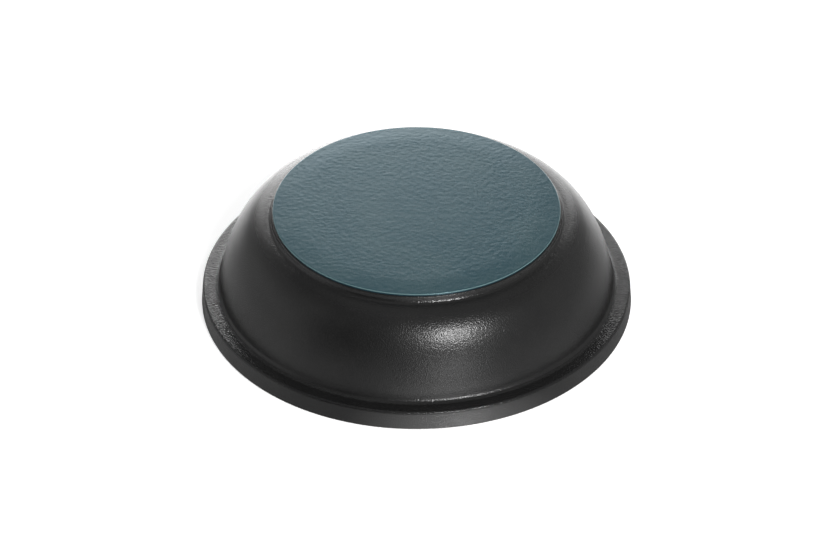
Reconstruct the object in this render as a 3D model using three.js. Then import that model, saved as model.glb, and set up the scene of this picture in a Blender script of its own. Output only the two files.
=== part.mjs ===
// Cooking dish of a tagine, turned over and standing on its rim: one iron casting under three enamel coats.
// The axis of the dish is Z, the rim stands on z = 0 and the foot looks up.
import * as THREE from 'three';

// Finished sizes in millimetres
const RIM_DIAMETER = 281;
const OVERALL_HEIGHT = 70;

// Foot: flat middle, border that falls away a little, rounded edge
const FOOT_DIAMETER = 185.2;
const FOOT_FLAT_DIAMETER = 158;
const FOOT_BORDER_DROP = 0.3;
const FOOT_EDGE_RADIUS = 1;
const FOOT_STAND = 6.2;
const FOOT_FILLET = 2.6;

// Wall: leaves the flange almost upright and turns over to meet the foot, angles in degrees
const NECK_DIAMETER = 257.2;
const WALL_LEAN = 9.9;
const SHOULDER_SLOPE = 7;
const WALL_FULLNESS = 0.607;
const WALL_THICKNESS = 4.8;

// Flange and lip around the mouth; the outside of the lip leans outward by an angle in degrees, down to the rim
const FLANGE_HEIGHT = 12.6;
const LIP_LEAN = 5;
const FLANGE_FILLET = 4;
const FLANGE_EDGE_RADIUS = 1.8;
const LIP_THICKNESS = 5.1;
const BARE_RIM_HEIGHT = 0.8;
const BARE_RIM_RADIUS = 0.6;

// Seat for the lid, inside the lip
const SEAT_DEPTH = 8.1;
const SEAT_FILLET = 2;
const MOUTH_EDGE_RADIUS = 2;

// Floor of the dish
const FLOOR_THICKNESS = 6.5;
const FLOOR_TURN_SLOPE = 20;

const ENAMEL_THICKNESS = 0.4;

// Fineness of the facets
const TURN_STEPS = 48;
const WALL_STEPS = 8;
const ROUND_STEPS = 3;

const at = (radius, height) => new THREE.Vector2(radius, height);
const heading = (degrees) => at(Math.cos(degrees * Math.PI / 180), Math.sin(degrees * Math.PI / 180));

// Points of the arc that rounds a corner of an outline and touches both of its sides
function roundCorner(before, corner, after, radius, steps = ROUND_STEPS) {
  const toBefore = before.clone().sub(corner).normalize();
  const toAfter = after.clone().sub(corner).normalize();
  const half = Math.acos(toBefore.dot(toAfter)) / 2;
  const middle = toBefore.clone().add(toAfter).normalize();
  const centre = corner.clone().addScaledVector(middle, radius / Math.sin(half));
  const start = corner.clone().addScaledVector(toBefore, radius / Math.tan(half)).sub(centre);
  const end = corner.clone().addScaledVector(toAfter, radius / Math.tan(half)).sub(centre);
  const clockwise = start.cross(end) < 0;
  const arc = new THREE.EllipseCurve(centre.x, centre.y, radius, radius, start.angle(), end.angle(), clockwise);
  return arc.getPoints(steps);
}

// Where the line through one point meets the line through another
function crossing(first, along, second, across) {
  const reach = second.clone().sub(first).cross(across) / along.cross(across);
  return first.clone().addScaledVector(along, reach);
}

// How far along a curve that grows steeper its slope reaches the given angle
function placeOfSlope(curve, degrees) {
  let flatter = 0;
  let steeper = 1;
  for (let halving = 0; halving < 40; halving += 1) {
    const middle = (flatter + steeper) / 2;
    const run = curve.getTangent(middle);
    const isSteep = -run.y > run.x * Math.tan(degrees * Math.PI / 180);
    flatter = isSteep ? flatter : middle;
    steeper = isSteep ? middle : steeper;
  }
  return steeper;
}

// The same outline moved to its right-hand side, where the metal lies
function moveIn(outline, depth) {
  return outline.map((point, i) => {
    const previous = outline[Math.max(i - 1, 0)];
    const next = outline[Math.min(i + 1, outline.length - 1)];
    const leaving = next.equals(point) ? point.clone().sub(previous) : next.clone().sub(point);
    const arriving = previous.equals(point) ? leaving.clone() : point.clone().sub(previous);
    const sideOut = at(leaving.y, -leaving.x).normalize();
    const sideIn = at(arriving.y, -arriving.x).normalize();
    const middle = sideIn.clone().add(sideOut).normalize();
    return point.clone().addScaledVector(middle, depth / middle.dot(sideIn));
  });
}

// Solid of revolution about Z with its faces turned outward, whichever way round the outline runs
function revolve(outline) {
  const geometry = new THREE.LatheGeometry(outline, TURN_STEPS);
  geometry.rotateX(Math.PI / 2);
  if (THREE.ShapeUtils.area(outline) < 0) {
    const corners = geometry.index.array;
    for (let i = 0; i < corners.length; i += 3) {
      [corners[i], corners[i + 1]] = [corners[i + 1], corners[i]];
    }
    geometry.computeVertexNormals();
  }
  return geometry;
}

function piece(name, outline, look) {
  const mesh = new THREE.Mesh(revolve(outline), new THREE.MeshStandardMaterial(look));
  mesh.name = name;
  return mesh;
}

const rimRadius = RIM_DIAMETER / 2;
const flangeRadius = rimRadius - FLANGE_HEIGHT * Math.tan(LIP_LEAN * Math.PI / 180);
const footRadius = FOOT_DIAMETER / 2;
const lipRadius = rimRadius - LIP_THICKNESS;
const floorHeight = OVERALL_HEIGHT - FLOOR_THICKNESS;

// Outside, from the middle of the foot to the lip
const footMiddle = at(0, OVERALL_HEIGHT);
const footFlatEnd = at(FOOT_FLAT_DIAMETER / 2, OVERALL_HEIGHT);
const footEdge = at(footRadius, OVERALL_HEIGHT - FOOT_BORDER_DROP);
const footBase = at(footRadius, OVERALL_HEIGHT - FOOT_STAND);
const neck = at(NECK_DIAMETER / 2, FLANGE_HEIGHT);
const flangeEdge = at(flangeRadius, FLANGE_HEIGHT);
const rimEdge = at(rimRadius, 0);
const outerCoatEnd = rimEdge.clone().lerp(flangeEdge, BARE_RIM_HEIGHT / FLANGE_HEIGHT);
const turn = crossing(footBase, heading(-SHOULDER_SLOPE), neck, heading(90 + WALL_LEAN));

const footRound = roundCorner(footFlatEnd, footEdge, footBase, FOOT_EDGE_RADIUS);
const footFillet = roundCorner(footEdge, footBase, turn, FOOT_FILLET);
const flangeFillet = roundCorner(turn, neck, flangeEdge, FLANGE_FILLET);
const flangeRound = roundCorner(neck, flangeEdge, outerCoatEnd, FLANGE_EDGE_RADIUS);

// The wall sweeps from the shoulder to the neck in one curve drawn toward the point where its ends would meet
const wallTop = footFillet.at(-1);
const wallFoot = flangeFillet[0];
const wall = new THREE.CubicBezierCurve(
  wallTop,
  wallTop.clone().lerp(turn, WALL_FULLNESS),
  wallFoot.clone().lerp(turn, WALL_FULLNESS),
  wallFoot,
);
const wallPoints = wall.getPoints(WALL_STEPS);
const footOutline = [footMiddle, footFlatEnd, ...footRound];
const wallOutline = [...footFillet, ...wallPoints.slice(1, -1), ...flangeFillet, ...flangeRound, outerCoatEnd];
const outside = [...footOutline, ...wallOutline];

// Inside, from the lip to the middle of the floor: the wall keeps its thickness down to the turn of the floor
const innerCoatEnd = at(lipRadius, BARE_RIM_HEIGHT);
const seatCorner = at(lipRadius, SEAT_DEPTH);
const floorMiddle = at(0, floorHeight);
const floorTurnPlace = placeOfSlope(wall, FLOOR_TURN_SLOPE);
const innerWall = Array.from({ length: WALL_STEPS }, (unused, step) => {
  const place = 1 + (floorTurnPlace - 1) * step / (WALL_STEPS - 1);
  const run = wall.getTangent(place);
  return wall.getPoint(place).addScaledVector(at(run.y, -run.x), WALL_THICKNESS);
});
const innerWallTop = innerWall.at(-1);
const mouthCorner = crossing(innerWall[0], heading(90 + WALL_LEAN), seatCorner, heading(180));
const floorCorner = crossing(innerWallTop, heading(180 - FLOOR_TURN_SLOPE), floorMiddle, heading(0));
const flatFloorEnd = floorCorner.clone().addScaledVector(heading(180), floorCorner.distanceTo(innerWallTop));
const floorTurn = new THREE.QuadraticBezierCurve(innerWallTop, floorCorner, flatFloorEnd);
const inside = [
  innerCoatEnd,
  ...roundCorner(innerCoatEnd, seatCorner, mouthCorner, SEAT_FILLET),
  ...roundCorner(seatCorner, mouthCorner, innerWall[0], MOUTH_EDGE_RADIUS),
  ...innerWall.slice(0, -1),
  ...floorTurn.getPoints(ROUND_STEPS),
  floorMiddle,
];

// The casting lies one coat deeper than the finished surfaces, except at its bare ground rim
const castingOutside = moveIn(outside, ENAMEL_THICKNESS);
const castingInside = moveIn(inside, ENAMEL_THICKNESS);
const lipRun = rimEdge.clone().sub(flangeEdge);
const rimOuterCorner = crossing(castingOutside.at(-1), lipRun, at(0, 0), heading(0));
const rimInnerCorner = at(lipRadius + ENAMEL_THICKNESS, 0);
const bareRim = [
  ...roundCorner(castingOutside.at(-1), rimOuterCorner, rimInnerCorner, BARE_RIM_RADIUS),
  ...roundCorner(rimOuterCorner, rimInnerCorner, castingInside[0], BARE_RIM_RADIUS),
];
const coatSplit = footOutline.length - 1;

const tagineDish = new THREE.Group();
tagineDish.name = 'tagine_dish';
tagineDish.add(
  piece(
    'iron_casting',
    [...castingOutside, ...bareRim, ...castingInside],
    { color: '#3d3c39', roughness: 0.68, metalness: 0.75 },
  ),
  piece(
    'outer_enamel',
    [...castingOutside.slice(coatSplit), ...outside.slice(coatSplit).reverse(), castingOutside[coatSplit]],
    { color: '#29292a', roughness: 0.4, metalness: 0 },
  ),
  piece(
    'foot_enamel',
    [...castingOutside.slice(0, coatSplit + 1), ...outside.slice(0, coatSplit + 1).reverse()],
    { color: '#47616a', roughness: 0.36, metalness: 0 },
  ),
  piece(
    'inner_enamel',
    [...inside.slice().reverse(), ...castingInside],
    { color: '#1f1f20', roughness: 0.48, metalness: 0 },
  ),
);

export default tagineDish;
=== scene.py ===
import math

import bmesh
import bpy
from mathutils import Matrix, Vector


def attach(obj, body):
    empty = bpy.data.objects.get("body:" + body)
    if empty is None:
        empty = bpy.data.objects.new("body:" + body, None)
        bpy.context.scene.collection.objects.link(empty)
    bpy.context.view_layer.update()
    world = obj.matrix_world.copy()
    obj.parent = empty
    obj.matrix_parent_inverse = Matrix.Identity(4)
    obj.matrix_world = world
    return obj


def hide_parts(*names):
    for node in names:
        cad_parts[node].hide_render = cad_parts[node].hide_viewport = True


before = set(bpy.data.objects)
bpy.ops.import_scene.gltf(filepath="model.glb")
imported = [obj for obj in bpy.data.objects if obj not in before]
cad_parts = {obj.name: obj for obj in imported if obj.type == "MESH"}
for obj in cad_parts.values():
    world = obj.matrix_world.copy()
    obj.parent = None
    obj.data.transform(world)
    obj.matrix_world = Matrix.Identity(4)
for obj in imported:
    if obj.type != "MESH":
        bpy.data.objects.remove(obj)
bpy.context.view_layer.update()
print("frame loaded:", sorted(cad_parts))

mm = 0.001

# corners of the finished dish before any rounding, in millimetres:
# distance from its axis and height above the rim
dishSection = {
    "footMiddle": (0.0, 70.0),
    "footFlatEnd": (79.0, 70.0),
    "footEdge": (92.6, 69.7),
    "coatsMeet": (92.6, 68.2),
    "blackEdge": (93.3, 68.2),
    "footBase": (94.13, 64.15),
    "shoulder": (120.26, 60.4),
    "neck": (128.6, 12.6),
    "flangeEdge": (139.4, 12.6),
    "outerCoatEnd": (140.43, 0.8),
    "innerCoatEnd": (135.4, 0.8),
    "seatCorner": (135.4, 8.1),
    "mouthEdge": (124.51, 8.1),
    "wallStart": (123.29, 15.09),
    "insideShoulder": (117.03, 50.94),
    "floorCorner": (82.52, 63.5),
    "floorMiddle": (0.0, 63.5),
}
enamelThickness = 0.4

handling = {
    "startSize": 2.0,  # the plane that an outline starts from
    "pickWithin": 0.02,
    "sideSlack": 0.001,
    "mergeWithin": 0.002,
    "smoothAngle": 35,
}


def clearSelection():
    if bpy.context.object and bpy.context.object.mode != "OBJECT":
        bpy.ops.object.mode_set(mode="OBJECT")
    bpy.ops.object.select_all(action="DESELECT")


def makeActive(piece):
    clearSelection()
    piece.select_set(True)
    bpy.context.view_layer.objects.active = piece


def editNew(name):
    # names the object that was just added and opens it with all of its points selected
    piece = bpy.context.object
    piece.name = name
    piece.data.name = name
    bpy.ops.object.mode_set(mode="EDIT")
    bpy.ops.mesh.select_mode(type="VERT")
    bpy.ops.mesh.select_all(action="SELECT")
    return piece


def drawOutline(name, points):
    clearSelection()
    bpy.ops.mesh.primitive_plane_add(size=handling["startSize"] * mm, location=(0, 0, 0))
    piece = editNew(name)
    bpy.ops.mesh.merge(type="CENTER")  # the plane shrinks to the one point where the outline starts
    bpy.ops.transform.translate(value=(points[0][0] * mm, 0, points[0][1] * mm))
    for before, after in zip(points, points[1:]):
        step = ((after[0] - before[0]) * mm, 0, (after[1] - before[1]) * mm)
        bpy.ops.mesh.extrude_region_move(TRANSFORM_OT_translate={"value": step})
    return piece


def pickVerts(piece, rule):
    mesh = bmesh.from_edit_mesh(piece.data)
    bpy.ops.mesh.select_all(action="DESELECT")
    picked = [vert for vert in mesh.verts if rule(vert.co)]
    for vert in picked:
        vert.select = True
    mesh.select_flush_mode()
    bmesh.update_edit_mesh(piece.data)
    return mesh, picked


def pickCorner(piece, point):
    # half of the angle between the two sides that meet there; the mesh is held while its corner is read
    place = Vector((point[0] * mm, 0, point[1] * mm))
    mesh, (corner,) = pickVerts(piece, lambda co: (co - place).length < handling["pickWithin"] * mm)
    sides = [(edge.other_vert(corner).co - corner.co).normalized() for edge in corner.link_edges]
    return sides[0].angle(sides[1]) / 2


def bevelPicked(reach, cuts):
    bpy.ops.mesh.bevel(affect="VERTICES", offset_type="OFFSET", offset=reach, segments=cuts, profile=0.5)


def roundCorner(piece, point, radius, cuts):
    halfAngle = pickCorner(piece, point)
    bevelPicked(radius * mm / math.tan(halfAngle), cuts)


def easeCorner(piece, point, reach, cuts):
    pickCorner(piece, point)
    bevelPicked(reach * mm, cuts)


def sweepCorner(piece, point, fullness, cuts):
    # the whole of both sides becomes one curve
    pickCorner(piece, point)
    bpy.ops.mesh.bevel(
        affect="VERTICES", offset_type="PERCENT", offset_pct=100,
        segments=cuts, profile=fullness, clamp_overlap=False,
    )


def cutSides(piece, low, high, cuts):
    # splits the sides of the outline that lie between two distances from the axis
    slack = handling["sideSlack"]
    pickVerts(piece, lambda co: (low - slack) * mm < co.x < (high + slack) * mm)
    bpy.ops.mesh.subdivide(number_cuts=cuts)


def spinOutline(steps, inside=False):
    bpy.ops.mesh.select_all(action="SELECT")
    bpy.ops.mesh.spin(steps=steps, angle=math.tau, center=(0, 0, 0), axis=(0, 0, 1))
    bpy.ops.mesh.select_all(action="SELECT")
    bpy.ops.mesh.remove_doubles(threshold=handling["mergeWithin"] * mm)
    bpy.ops.mesh.normals_make_consistent(inside=inside)
    bpy.ops.object.mode_set(mode="OBJECT")


def addModifier(piece, kind, **settings):
    makeActive(piece)
    modifier = piece.modifiers.new(kind.lower(), kind)
    for name, value in settings.items():
        setattr(modifier, name, value)
    bpy.ops.object.modifier_apply(modifier=modifier.name)


def addWaves(piece, name, size, detail, height, **settings):
    clouds = bpy.data.textures.new(name, "CLOUDS")
    clouds.noise_scale = size * mm
    clouds.noise_depth = detail
    clouds.noise_basis = "BLENDER_ORIGINAL"
    addModifier(
        piece, "DISPLACE", texture=clouds, texture_coords="LOCAL",
        strength=height * mm, mid_level=0.5, **settings,
    )


def addThickness(piece):
    addModifier(piece, "SOLIDIFY", thickness=enamelThickness * mm, offset=-1, use_even_offset=True)


def finishPiece(piece, node, material):
    makeActive(piece)
    bpy.ops.object.shade_smooth_by_angle(angle=math.radians(handling["smoothAngle"]))
    piece.data.materials.clear()
    piece.data.materials.append(material)
    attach(piece, "root")
    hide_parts(node)
    print(piece.name, "stands for", node, "with", len(piece.data.polygons), "faces")


# Nodes that the materials and the surroundings share

def addNode(tree, kind, place, **settings):
    node = tree.nodes.new(kind)
    node.location = place
    for name, value in settings.items():
        setattr(node, name, value)
    return node


def newMaterial(name):
    material = bpy.data.materials.new(name)
    material.use_nodes = True
    tree = material.node_tree
    tree.nodes.clear()
    output = addNode(tree, "ShaderNodeOutputMaterial", (700, 0))
    return material, tree, output


def newCoating(name):
    material, tree, output = newMaterial(name)
    shader = addNode(tree, "ShaderNodeBsdfPrincipled", (400, 0))
    tree.links.new(shader.outputs["BSDF"], output.inputs["Surface"])
    return material, tree, shader


def addMath(tree, place, operation, first, second=0):
    # an operand is a socket or a number
    node = addNode(tree, "ShaderNodeMath", place, operation=operation)
    for socket, value in zip(node.inputs, (first, second)):
        if isinstance(value, (int, float)):
            socket.default_value = value
        else:
            tree.links.new(value, socket)
    return node.outputs["Value"]


def mapRange(tree, place, value, span, levels=(0, 1), smooth=True):
    kind = "SMOOTHSTEP" if smooth else "LINEAR"
    ramp = addNode(tree, "ShaderNodeMapRange", place, interpolation_type=kind)
    ramp.inputs["From Min"].default_value, ramp.inputs["From Max"].default_value = span
    ramp.inputs["To Min"].default_value, ramp.inputs["To Max"].default_value = levels
    tree.links.new(value, ramp.inputs["Value"])
    return ramp.outputs["Result"]


def mixColors(tree, place):
    mix = addNode(tree, "ShaderNodeMix", place, data_type="RGBA")
    return mix.inputs[0], mix.inputs[6], mix.inputs[7], mix.outputs[2]


def axisPlace(tree, x, y):
    # distance from the axis of the dish and height above its rim
    place = addNode(tree, "ShaderNodeTexCoord", (x, y))
    flat = addNode(tree, "ShaderNodeVectorMath", (x + 200, y), operation="MULTIPLY")
    flat.inputs[1].default_value = (1, 1, 0)
    reach = addNode(tree, "ShaderNodeVectorMath", (x + 400, y), operation="LENGTH")
    parts = addNode(tree, "ShaderNodeSeparateXYZ", (x + 200, y - 200))
    tree.links.new(place.outputs["Object"], flat.inputs[0])
    tree.links.new(flat.outputs["Vector"], reach.inputs[0])
    tree.links.new(place.outputs["Object"], parts.inputs["Vector"])
    return reach.outputs["Value"], parts.outputs["Z"]


def inMetres(span):
    return span[0] * mm, span[1] * mm


# Clouded colour, uneven gloss and the fine orange-peel grain that every coat of this dish has
coatPattern = {
    "cloudDetail": 3,
    "cloudRoughness": 0.6,
    "cloudSpan": (0.32, 0.68),
    "glossSpan": (0.3, 0.7),
}


def makeEnamelGroup():
    group = bpy.data.node_groups.new("enamelCoat", "ShaderNodeTree")
    sockets = group.interface
    sockets.new_socket("Body Color", in_out="INPUT", socket_type="NodeSocketColor")
    sockets.new_socket("Cloud Color", in_out="INPUT", socket_type="NodeSocketColor")
    sockets.new_socket("Cloud Scale", in_out="INPUT", socket_type="NodeSocketFloat")
    sockets.new_socket("Grain Scale", in_out="INPUT", socket_type="NodeSocketFloat")
    sockets.new_socket("Gloss Low", in_out="INPUT", socket_type="NodeSocketFloat")
    sockets.new_socket("Gloss High", in_out="INPUT", socket_type="NodeSocketFloat")
    sockets.new_socket("Color", in_out="OUTPUT", socket_type="NodeSocketColor")
    sockets.new_socket("Roughness", in_out="OUTPUT", socket_type="NodeSocketFloat")
    sockets.new_socket("Grain", in_out="OUTPUT", socket_type="NodeSocketFloat")

    given = addNode(group, "NodeGroupInput", (-900, 0))
    made = addNode(group, "NodeGroupOutput", (500, 0))
    place = addNode(group, "ShaderNodeTexCoord", (-900, -300))
    clouds = addNode(group, "ShaderNodeTexNoise", (-600, 200), noise_dimensions="3D")
    clouds.inputs["Detail"].default_value = coatPattern["cloudDetail"]
    clouds.inputs["Roughness"].default_value = coatPattern["cloudRoughness"]
    fineGrain = addNode(group, "ShaderNodeTexNoise", (-600, -250), noise_dimensions="3D")
    fineGrain.inputs["Detail"].default_value = 0
    spread = mapRange(group, (-350, 250), clouds.outputs["Fac"], coatPattern["cloudSpan"])
    amount, body, cloud, toned = mixColors(group, (-100, 250))
    gloss = addNode(group, "ShaderNodeMapRange", (-100, -50))
    gloss.inputs["From Min"].default_value, gloss.inputs["From Max"].default_value = coatPattern["glossSpan"]

    link = group.links.new
    link(place.outputs["Object"], clouds.inputs["Vector"])
    link(place.outputs["Object"], fineGrain.inputs["Vector"])
    link(given.outputs["Cloud Scale"], clouds.inputs["Scale"])
    link(given.outputs["Grain Scale"], fineGrain.inputs["Scale"])
    link(spread, amount)
    link(given.outputs["Body Color"], body)
    link(given.outputs["Cloud Color"], cloud)
    link(clouds.outputs["Fac"], gloss.inputs["Value"])
    link(given.outputs["Gloss Low"], gloss.inputs["To Min"])
    link(given.outputs["Gloss High"], gloss.inputs["To Max"])
    link(toned, made.inputs["Color"])
    link(gloss.outputs["Result"], made.inputs["Roughness"])
    link(fineGrain.outputs["Fac"], made.inputs["Grain"])
    return group


enamelGroup = makeEnamelGroup()


def enamelMaterial(name, look):
    # scales are counted per metre, so a size in millimetres is turned over
    material, tree, shader = newCoating(name)
    coat = addNode(tree, "ShaderNodeGroup", (-300, 0), node_tree=enamelGroup)
    coat.inputs["Body Color"].default_value = (*look["body"], 1)
    coat.inputs["Cloud Color"].default_value = (*look["cloud"], 1)
    coat.inputs["Cloud Scale"].default_value = 1000 / look["cloudSize"]
    coat.inputs["Grain Scale"].default_value = 1000 / look["grainSize"]
    coat.inputs["Gloss Low"].default_value, coat.inputs["Gloss High"].default_value = look["gloss"]
    bump = addNode(tree, "ShaderNodeBump", (100, -300))
    bump.inputs["Strength"].default_value = look["grainStrength"]
    bump.inputs["Distance"].default_value = look["grainDepth"] * mm
    link = tree.links.new
    link(coat.outputs["Color"], shader.inputs["Base Color"])
    link(coat.outputs["Roughness"], shader.inputs["Roughness"])
    link(coat.outputs["Grain"], bump.inputs["Height"])
    link(bump.outputs["Normal"], shader.inputs["Normal"])
    shader.inputs["IOR"].default_value = look["ior"]
    return material, tree, shader, coat, bump


blackLook = {
    "body": (0.0110, 0.0110, 0.0112),
    "cloud": (0.0135, 0.0134, 0.0132),
    "cloudSize": 26.0,
    "grainSize": 0.78,
    "grainStrength": 1.0,
    "grainDepth": 0.13,
    "gloss": (0.277, 0.287),
    "ior": 1.5,
    "coarseSize": 1.15,  # a second, coarser grain on the shoulder and the flange
    "poolSpan": (98.0, 106.0),  # the glaze ran together and lies smoother between the foot and this distance
    "pooledGloss": 0.75,
    "pooledGrain": 0.8,
    "flangeHeight": 12.6,
    "flangeSpan": (0.4, 1.0),  # how far above and below that height the flange's own finish ends
    "flangeGloss": 0.78,
    "flangeGrain": 1.6,
}


def makeBlackEnamel():
    look = blackLook
    material, tree, shader, coat, bump = enamelMaterial("blackEnamel", look)
    reach, height = axisPlace(tree, -1200, 500)
    above = addMath(tree, (-700, -300), "SUBTRACT", height, look["flangeHeight"] * mm)
    offFlange = addMath(tree, (-500, -300), "ABSOLUTE", above)

    poolSpan, flangeSpan = inMetres(look["poolSpan"]), inMetres(look["flangeSpan"])
    pooledGloss = mapRange(tree, (-300, 350), reach, poolSpan, (look["pooledGloss"], 1))
    flangeGloss = mapRange(tree, (-300, 600), offFlange, flangeSpan, (look["flangeGloss"], 1))
    smoother = addMath(tree, (-50, 450), "MULTIPLY", pooledGloss, flangeGloss)
    gloss = addMath(tree, (150, 300), "MULTIPLY", coat.outputs["Roughness"], smoother)
    tree.links.new(gloss, shader.inputs["Roughness"])

    place = addNode(tree, "ShaderNodeTexCoord", (-700, -600))
    pits = addNode(tree, "ShaderNodeTexNoise", (-500, -600), noise_dimensions="3D")
    pits.inputs["Scale"].default_value = 1000 / look["coarseSize"]
    pits.inputs["Detail"].default_value = 0
    tree.links.new(place.outputs["Object"], pits.inputs["Vector"])
    pooledGrain = mapRange(tree, (-300, -100), reach, poolSpan, (look["pooledGrain"], 0))
    flangeGrain = mapRange(tree, (-300, -350), offFlange, flangeSpan, (look["flangeGrain"], 0))
    coarse = addMath(tree, (-100, -200), "ADD", pooledGrain, flangeGrain)
    pitted = addMath(tree, (-100, -400), "MULTIPLY", pits.outputs["Fac"], coarse)
    grain = addMath(tree, (50, -450), "ADD", pitted, coat.outputs["Grain"])
    tree.links.new(grain, bump.inputs["Height"])
    return material


blackEnamel = makeBlackEnamel()

insideLook = {
    "body": (0.0125, 0.0125, 0.0130),
    "cloud": (0.0160, 0.0158, 0.0155),
    "cloudSize": 34.0,
    "grainSize": 1.1,
    "grainStrength": 0.45,
    "grainDepth": 0.04,
    "gloss": (0.38, 0.48),
    "ior": 1.5,
}
insideEnamel = enamelMaterial("insideEnamel", insideLook)[0]

tealLook = {
    "body": (0.0215, 0.0680, 0.0855),
    "cloud": (0.0250, 0.0715, 0.0840),
    "cloudSize": 40.0,
    "grainSize": 1.2,
    "grainStrength": 0.5,
    "grainDepth": 0.05,
    "gloss": (0.23, 0.275),
    "ior": 1.6,
    "sheen": (0.56, 0.80, 0.93),  # tint of its reflections
    "thinEdgeAndHighlightSpan": (92.05, 92.45),  # distance from the axis where the coat runs thin over the edge of the foot and a painted highlight lines that edge
    "thinEdgeAndHighlightColor": (0.15, 0.25, 0.26),
    "sideSpan": (69.05, 69.3),  # the side below this height gets a painted shade
    "sidePaintedShadeColor": (0.010, 0.030, 0.040),
}


def makeTealEnamel():
    look = tealLook
    material, tree, shader, coat = enamelMaterial("tealEnamel", look)[:4]
    reach, height = axisPlace(tree, -1000, 400)
    # the pale ring on the foot's edge is partly thin coat and partly a painted highlight
    thinAndHighlit = mapRange(tree, (-400, 300), reach, inMetres(look["thinEdgeAndHighlightSpan"]))
    # painted shade: the coat's side below the foot's edge is coloured darker
    high = mapRange(tree, (-400, 550), height, inMetres(look["sideSpan"]))
    onEdge = addMath(tree, (-100, 400), "MULTIPLY", thinAndHighlit, high)
    aboveSide, side, body, sided = mixColors(tree, (-50, 200))
    side.default_value = (*look["sidePaintedShadeColor"], 1)
    amount, under, edge, toned = mixColors(tree, (150, 200))
    edge.default_value = (*look["thinEdgeAndHighlightColor"], 1)
    link = tree.links.new
    link(high, aboveSide)
    link(coat.outputs["Color"], body)
    link(sided, under)
    link(onEdge, amount)
    link(toned, shader.inputs["Base Color"])
    shader.inputs["Specular Tint"].default_value = (*look["sheen"], 1)
    return material


tealEnamel = makeTealEnamel()

ironLook = {
    "dark": (0.085, 0.080, 0.074),
    "bright": (0.155, 0.150, 0.142),
    "ringScale": 5200.0,  # fine rings left by the grinding of the rim
    "ringDetail": 2,
    "speckScale": 900.0,
    "speckDetail": 4,
    "markSpan": (0.12, 0.42),
    "glossSpan": (0.3, 0.7),
    "gloss": (0.42, 0.62),
    "markStrength": 0.4,
    "markDepth": 0.03,
    "metallic": 0.8,
}


def makeGroundIron():
    look = ironLook
    material, tree, shader = newCoating("groundIron")
    reach = axisPlace(tree, -1100, 100)[0]
    place = addNode(tree, "ShaderNodeTexCoord", (-700, -300))
    rings = addNode(tree, "ShaderNodeTexNoise", (-500, 100), noise_dimensions="1D")
    rings.inputs["Scale"].default_value = look["ringScale"]
    rings.inputs["Detail"].default_value = look["ringDetail"]
    specks = addNode(tree, "ShaderNodeTexNoise", (-500, -200), noise_dimensions="3D")
    specks.inputs["Scale"].default_value = look["speckScale"]
    specks.inputs["Detail"].default_value = look["speckDetail"]
    marks = addMath(tree, (-300, 0), "MULTIPLY", rings.outputs["Fac"], specks.outputs["Fac"])
    spread = mapRange(tree, (-300, 250), marks, look["markSpan"], smooth=False)
    gloss = mapRange(tree, (-100, -150), specks.outputs["Fac"], look["glossSpan"], look["gloss"], smooth=False)
    amount, dark, bright, toned = mixColors(tree, (-100, 100))
    dark.default_value = (*look["dark"], 1)
    bright.default_value = (*look["bright"], 1)
    bump = addNode(tree, "ShaderNodeBump", (100, -300))
    bump.inputs["Strength"].default_value = look["markStrength"]
    bump.inputs["Distance"].default_value = look["markDepth"] * mm
    link = tree.links.new
    link(reach, rings.inputs["W"])
    link(place.outputs["Object"], specks.inputs["Vector"])
    link(spread, amount)
    link(marks, bump.inputs["Height"])
    link(toned, shader.inputs["Base Color"])
    link(gloss, shader.inputs["Roughness"])
    link(bump.outputs["Normal"], shader.inputs["Normal"])
    shader.inputs["Metallic"].default_value = look["metallic"]
    return material


groundIron = makeGroundIron()
print("materials made:", [material.name for material in bpy.data.materials if material.use_nodes])

# Black coat on the side of the foot, the wall, the flange and the outside of the lip
blackCoatForm = {
    "outline": ("coatsMeet", "blackEdge", "footBase", "shoulder", "neck", "flangeEdge", "outerCoatEnd"),
    "rounds": {"blackEdge": 0.65, "footBase": 2.8, "neck": 4.0, "flangeEdge": 1.8},
    "roundCuts": 8,
    "wallFullness": 0.5295,
    "wallCuts": 36,
    "steps": 384,
    "waveSize": 34.0,
    "waveDetail": 1,
    "waveHeight": 0.06,
}


def makeBlackCoat():
    form = blackCoatForm
    piece = drawOutline("blackCoat", [dishSection[name] for name in form["outline"]])
    for name, radius in form["rounds"].items():
        roundCorner(piece, dishSection[name], radius, form["roundCuts"])
    sweepCorner(piece, dishSection["shoulder"], form["wallFullness"], form["wallCuts"])
    spinOutline(form["steps"])
    addWaves(piece, "castingWaves", form["waveSize"], form["waveDetail"], form["waveHeight"])
    addThickness(piece)
    finishPiece(piece, "outer_enamel", blackEnamel)


makeBlackCoat()

# Teal coat on the foot, rippled like the casting under it
footCoatForm = {
    "middleRadius": 74.0,
    "sides": 760,  # a multiple of four, so that the middle fills with an even grid
    "easeSpan": 10.0,  # the border goes over into its fall across this width
    "ringStep": 0.62,
    "edgeRound": 0.5,
    "roundCuts": 6,
    "underside": ((92.2, 68.2), (92.2, 68.72), (91.6, 69.3), (79.0, 69.6)),
    "gridReach": 74.1,
    "gridLow": 69.9,
    "rippleReach": 91.5,
    "rippleLow": 69.68,
    "rippleSize": 2.15,
    "rippleDetail": 0,
    "rippleHeight": 0.068,
}


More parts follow.
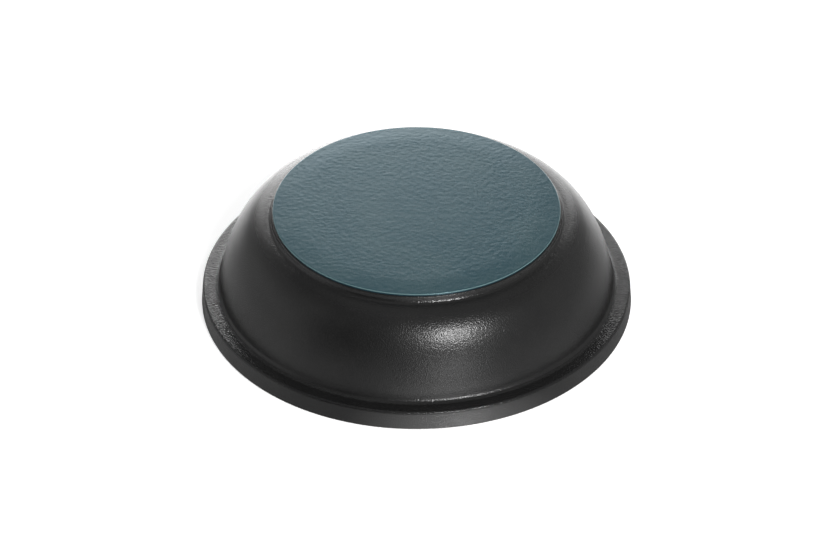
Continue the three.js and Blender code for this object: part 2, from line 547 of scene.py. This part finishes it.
def footRings(form):
    # distance from the axis and height of each ring from the edge of the grid to the lower end of the coat
    flatEnd, edge = dishSection["footFlatEnd"], dishSection["footEdge"]
    fall = (flatEnd[1] - edge[1]) / (edge[0] - flatEnd[0])
    start, span, rounding = form["middleRadius"], form["easeSpan"], form["edgeRound"]
    roundStart = edge[0] - rounding
    width = roundStart - start
    count = round(width / form["ringStep"])
    rings = []
    for step in range(1, count + 1):
        reach = width * step / count
        eased = min(reach, span)
        rings.append((start + reach, flatEnd[1] - fall * (eased * eased / (2 * span) + reach - eased)))
    roundMiddle = rings[-1][1] - rounding
    for step in range(1, form["roundCuts"] + 1):
        turn = math.pi / 2 * step / form["roundCuts"]
        rings.append((roundStart + rounding * math.sin(turn), roundMiddle + rounding * math.cos(turn)))
    rings.append(dishSection["coatsMeet"])
    return rings


def makeFootCoat():
    form = footCoatForm
    radius, height = form["middleRadius"], dishSection["footMiddle"][1]
    clearSelection()
    bpy.ops.mesh.primitive_circle_add(vertices=form["sides"], radius=radius * mm, fill_type="NOTHING")
    piece = editNew("footCoat")
    bpy.ops.transform.translate(value=(0, 0, height * mm))

    # the border, the rounded edge and the underside are drawn out ring by ring
    for nextRadius, nextHeight in [*footRings(form), *form["underside"]]:
        rise = (0, 0, (nextHeight - height) * mm)
        grow = nextRadius / radius
        bpy.ops.mesh.extrude_region_move(TRANSFORM_OT_translate={"value": rise})
        bpy.ops.transform.resize(value=(grow, grow, 1), center_override=(0, 0, 0))
        radius, height = nextRadius, nextHeight
    bpy.ops.mesh.extrude_region_move(TRANSFORM_OT_translate={"value": (0, 0, 0)})
    bpy.ops.mesh.merge(type="CENTER")

    # the flat middle
    pickVerts(piece, lambda co: co.xy.length < form["gridReach"] * mm and co.z > form["gridLow"] * mm)
    bpy.ops.mesh.fill_grid(span=form["sides"] // 4)
    bpy.ops.mesh.select_all(action="SELECT")
    bpy.ops.mesh.normals_make_consistent(inside=False)

    rippled = piece.vertex_groups.new(name="rippled")
    pickVerts(piece, lambda co: co.xy.length < form["rippleReach"] * mm and co.z > form["rippleLow"] * mm)
    bpy.ops.object.vertex_group_assign()
    bpy.ops.object.mode_set(mode="OBJECT")
    addWaves(
        piece, "footRipples", form["rippleSize"], form["rippleDetail"], form["rippleHeight"],
        direction="Z", vertex_group=rippled.name,
    )
    finishPiece(piece, "foot_enamel", tealEnamel)


makeFootCoat()

# Lining of the cooking space, the seat for the lid and the inside of the lip
insideLiningForm = {
    "outline": (
        "innerCoatEnd", "seatCorner", "mouthEdge", "wallStart", "insideShoulder", "floorCorner", "floorMiddle",
    ),
    "rounds": {"seatCorner": 2.0, "mouthEdge": 2.0},
    "roundCuts": 6,
    "floorTurn": 16.58,
    "wallFullness": 0.5325,
    "wallCuts": 24,
    "flatFloor": 66.0,  # the floor is flat up to here
    "floorCuts": 10,
    "steps": 256,
    "waveSize": 30.0,
    "waveDetail": 1,
    "waveHeight": 0.10,
}


def makeInsideLining():
    form = insideLiningForm
    piece = drawOutline("insideLining", [dishSection[name] for name in form["outline"]])
    for name, radius in form["rounds"].items():
        roundCorner(piece, dishSection[name], radius, form["roundCuts"])
    easeCorner(piece, dishSection["floorCorner"], form["floorTurn"], form["roundCuts"])
    sweepCorner(piece, dishSection["insideShoulder"], form["wallFullness"], form["wallCuts"])
    cutSides(piece, 0, form["flatFloor"], form["floorCuts"])
    spinOutline(form["steps"], inside=True)
    addWaves(piece, "liningWaves", form["waveSize"], form["waveDetail"], form["waveHeight"])
    addThickness(piece)
    finishPiece(piece, "inner_enamel", insideEnamel)


makeInsideLining()

# Iron under the coats, one coat deeper than they are, with its bare ground rim
castingForm = {
    "outline": {
        "footMiddle": (0.0, 69.6),
        "footFlatEnd": (79.0, 69.6),
        "footEdge": (92.2, 69.31),
        "footBase": (93.75, 63.75),
        "shoulder": (119.92, 60.04),
        "neck": (128.26, 12.2),
        "flangeEdge": (139.03, 12.2),
        "rimOutside": (140.1, 0.0),
        "rimInside": (135.8, 0.0),
        "seatCorner": (135.8, 8.5),
        "mouthEdge": (124.85, 8.5),
        "wallStart": (123.68, 15.16),
        "insideShoulder": (117.37, 51.25),
        "floorCorner": (82.6, 63.9),
        "floorMiddle": (0.0, 63.9),
    },
    "rounds": {
        "footEdge": 0.6, "footBase": 3.2, "neck": 4.4, "flangeEdge": 1.4,
        "rimOutside": 0.5, "rimInside": 0.5, "seatCorner": 1.6, "mouthEdge": 2.4,
    },
    "roundCuts": 5,
    "floorTurn": 16.5,
    "wallFullness": 0.5295,
    "insideFullness": 0.5325,
    "wallCuts": 24,
    "steps": 256,
}


def makeDishCasting():
    form = castingForm
    outline = form["outline"]
    piece = drawOutline("dishCasting", list(outline.values()))
    for name, radius in form["rounds"].items():
        roundCorner(piece, outline[name], radius, form["roundCuts"])
    easeCorner(piece, outline["floorCorner"], form["floorTurn"], form["roundCuts"])
    sweepCorner(piece, outline["shoulder"], form["wallFullness"], form["wallCuts"])
    sweepCorner(piece, outline["insideShoulder"], form["insideFullness"], form["wallCuts"])
    spinOutline(form["steps"])
    finishPiece(piece, "iron_casting", groundIron)


makeDishCasting()

# Pale floor; its patches of painted glow and painted shade show in reflections only
floorLook = {
    "size": 14.0,
    "height": -0.0002,
    "color": (0.90, 0.90, 0.90),
    "glow": 0.62,
    "sheen": 3.0,  # refractive index of the polish that only reflections show
    "sheenBlur": 0.16,
    "paintedLightAndShade": (
        # painted light: glowing patches in front of and behind the dish
        {"place": (0.03, -0.158, 0.0), "span": (0.0, 0.09), "glow": 2.0},
        {"place": (0.07, -0.45, 0.0), "span": (0.0, 0.30), "glow": 0.6},
        {"place": (0.0, 0.5, 0.0), "span": (0.32, 0.48), "glow": 1.2},
        # painted shade: darker floor on both sides of the dish
        {"place": (0.165, -0.02, 0.0), "span": (0.0, 0.10), "glow": -0.26},
        {"place": (-0.165, -0.02, 0.0), "span": (0.0, 0.10), "glow": -0.16},
    ),
}


def paintedPatchGlow(tree, row, patch):
    y = -450 - 250 * row
    place = addNode(tree, "ShaderNodeTexCoord", (-700, y))
    away = addNode(tree, "ShaderNodeVectorMath", (-500, y), operation="DISTANCE")
    away.inputs[1].default_value = patch["place"]
    tree.links.new(place.outputs["Object"], away.inputs[0])
    return mapRange(tree, (-300, y), away.outputs["Value"], patch["span"], (patch["glow"], 0))


def makeFloor():
    look = floorLook
    clearSelection()
    bpy.ops.mesh.primitive_plane_add(size=look["size"], location=(0, 0, look["height"]))
    floor = bpy.context.object
    floor.name = "studioFloor"
    material, tree, output = newMaterial("paleFloor")
    rays = addNode(tree, "ShaderNodeLightPath", (-500, -100)).outputs
    matte = addNode(tree, "ShaderNodeBsdfDiffuse", (50, 200))
    matte.inputs["Color"].default_value = (*look["color"], 1)
    satin = addNode(tree, "ShaderNodeBsdfGlossy", (50, 50))
    satin.inputs["Roughness"].default_value = look["sheenBlur"]
    sheen = addNode(tree, "ShaderNodeFresnel", (-350, 350))
    sheen.inputs["IOR"].default_value = look["sheen"]
    polish = addMath(tree, (-150, 250), "MULTIPLY", rays["Is Glossy Ray"], sheen.outputs["Fac"])
    board = addNode(tree, "ShaderNodeMixShader", (250, 200))

    # the plain glow is seen straight or through glass, the patches of painted light and shade in reflections
    seen = addMath(tree, (-250, -50), "MAXIMUM", rays["Is Camera Ray"], rays["Is Transmission Ray"])
    plain = addMath(tree, (-50, -100), "MULTIPLY", seen, look["glow"])
    # sum of the painted light and painted shade patches
    paintedPatchLight = 0.0
    for row, patch in enumerate(look["paintedLightAndShade"]):
        paintedPatchLight = addMath(tree, (-100, -400 - 250 * row), "ADD", paintedPatchLight, paintedPatchGlow(tree, row, patch))
    reflected = addMath(tree, (0, -250), "MULTIPLY", paintedPatchLight, rays["Is Glossy Ray"])
    level = addMath(tree, (50, -250), "ADD", reflected, plain)
    glow = addNode(tree, "ShaderNodeEmission", (150, -100))
    glowingBoard = addNode(tree, "ShaderNodeAddShader", (400, 0))

    link = tree.links.new
    link(polish, board.inputs["Fac"])
    link(matte.outputs["BSDF"], board.inputs[1])
    link(satin.outputs["BSDF"], board.inputs[2])
    link(level, glow.inputs["Strength"])
    link(board.outputs["Shader"], glowingBoard.inputs[0])
    link(glow.outputs["Emission"], glowingBoard.inputs[1])
    link(glowingBoard.outputs["Shader"], output.inputs["Surface"])
    floor.data.materials.append(material)


# The room that the enamel reflects, behind a background that is white to the camera
roomLook = {
    "sides": 0.46,
    "overhead": 0.12,
    "sidesSpan": (0.60, 0.86),  # sine of the height across which the pale sides darken
    "darkSpots": (
        {"toward": (-0.56, -0.72, 0.41), "span": (0.87, 0.97), "level": 0.05},  # to the left of the camera
        {"toward": (0.0, 0.80, 0.60), "span": (0.955, 0.99), "level": 0.15},  # between back panels and top light
    ),
}


def makeSurroundings():
    look = roomLook
    world = bpy.data.worlds.new("paleStudio")
    bpy.context.scene.world = world
    world.use_nodes = True
    tree = world.node_tree
    tree.nodes.clear()
    link = tree.links.new
    output = addNode(tree, "ShaderNodeOutputWorld", (700, 0))
    choose = addNode(tree, "ShaderNodeMixShader", (500, 0))
    white = addNode(tree, "ShaderNodeBackground", (250, -150))
    white.inputs["Color"].default_value = (1, 1, 1, 1)
    room = addNode(tree, "ShaderNodeBackground", (250, 50))
    rays = addNode(tree, "ShaderNodeLightPath", (0, 250)).outputs
    seen = addMath(tree, (250, 250), "MAXIMUM", rays["Is Camera Ray"], rays["Is Transmission Ray"])

    direction = addNode(tree, "ShaderNodeTexCoord", (-600, 0)).outputs["Generated"]
    parts = addNode(tree, "ShaderNodeSeparateXYZ", (-400, 0))
    link(direction, parts.inputs["Vector"])
    light = mapRange(tree, (-200, 0), parts.outputs["Z"], look["sidesSpan"], (look["sides"], look["overhead"]))
    for row, spot in enumerate(look["darkSpots"]):
        y = -250 - 250 * row
        facing = addNode(tree, "ShaderNodeVectorMath", (-400, y), operation="DOT_PRODUCT")
        facing.inputs[1].default_value = spot["toward"]
        link(direction, facing.inputs[0])
        shade = mapRange(tree, (-200, y), facing.outputs["Value"], spot["span"], (1, spot["level"]))
        light = addMath(tree, (0, y), "MULTIPLY", light, shade)

    link(light, room.inputs["Strength"])
    link(seen, choose.inputs["Fac"])
    link(room.outputs["Background"], choose.inputs[1])
    link(white.outputs["Background"], choose.inputs[2])
    link(choose.outputs["Shader"], output.inputs["Surface"])


# azimuth is counted to the right of the camera's side, height above the floor, both in degrees
softboxes = {
    "keySoftbox": {"azimuth": 23.2, "height": 36.8, "away": 3.0, "size": (0.62, 0.72), "bright": 38.0},
    "lowSoftbox": {"azimuth": 19, "height": 3.6, "away": 3.0, "size": (1.2, 0.37), "bright": 4.3},
    "topSoftbox": {"azimuth": 90, "height": 86, "away": 2.4, "size": (2.3, 2.4), "bright": 0.25},
    "leftFill": {"azimuth": 262, "height": 12, "away": 3.0, "size": (3.0, 1.2), "bright": 0.24},
    "backPanel": {"azimuth": 180.5, "height": 14.2, "away": 3.0, "size": (3.2, 1.54), "bright": 2.5},
    "backCentre": {"azimuth": 188, "height": 14.2, "away": 2.9, "size": (0.95, 1.49), "bright": 3.1},
    "backTop": {"azimuth": 181.2, "height": 31.4, "away": 2.8, "size": (0.54, 0.26), "bright": 3.4},
}
softboxAim = (0, 0, 0.04)


def addSoftbox(name, box):
    clearSelection()
    turn, rise = math.radians(box["azimuth"]), math.radians(box["height"])
    toward = Vector((math.sin(turn) * math.cos(rise), -math.cos(turn) * math.cos(rise), math.sin(rise)))
    bpy.ops.object.light_add(type="AREA", location=toward * box["away"] + Vector(softboxAim))
    lamp = bpy.context.object
    lamp.name = name
    lamp.data.shape = "RECTANGLE"
    lamp.data.size, lamp.data.size_y = box["size"]
    lamp.data.energy = box["bright"] * math.pi * box["size"][0] * box["size"][1]
    lamp.rotation_euler = toward.to_track_quat("Z", "Y").to_euler()
    lamp.visible_camera = False


cameraView = {
    "place": (0.0, -1.8318, 1.3808),
    "tilt": 53.2655,
    "lens": 151.26,
    "sensor": 36,
    "farEnd": 50,
}


def makeCamera():
    clearSelection()
    tilt = (math.radians(cameraView["tilt"]), 0, 0)
    bpy.ops.object.camera_add(location=cameraView["place"], rotation=tilt)
    camera = bpy.context.object
    camera.data.sensor_width = cameraView["sensor"]
    camera.data.lens = cameraView["lens"]
    camera.data.clip_end = cameraView["farEnd"]
    bpy.context.scene.camera = camera


makeFloor()
makeSurroundings()
for boxName, box in softboxes.items():
    addSoftbox(boxName, box)
makeCamera()
bpy.context.scene.view_settings.view_transform = "Standard"
print("floor, light and camera set")
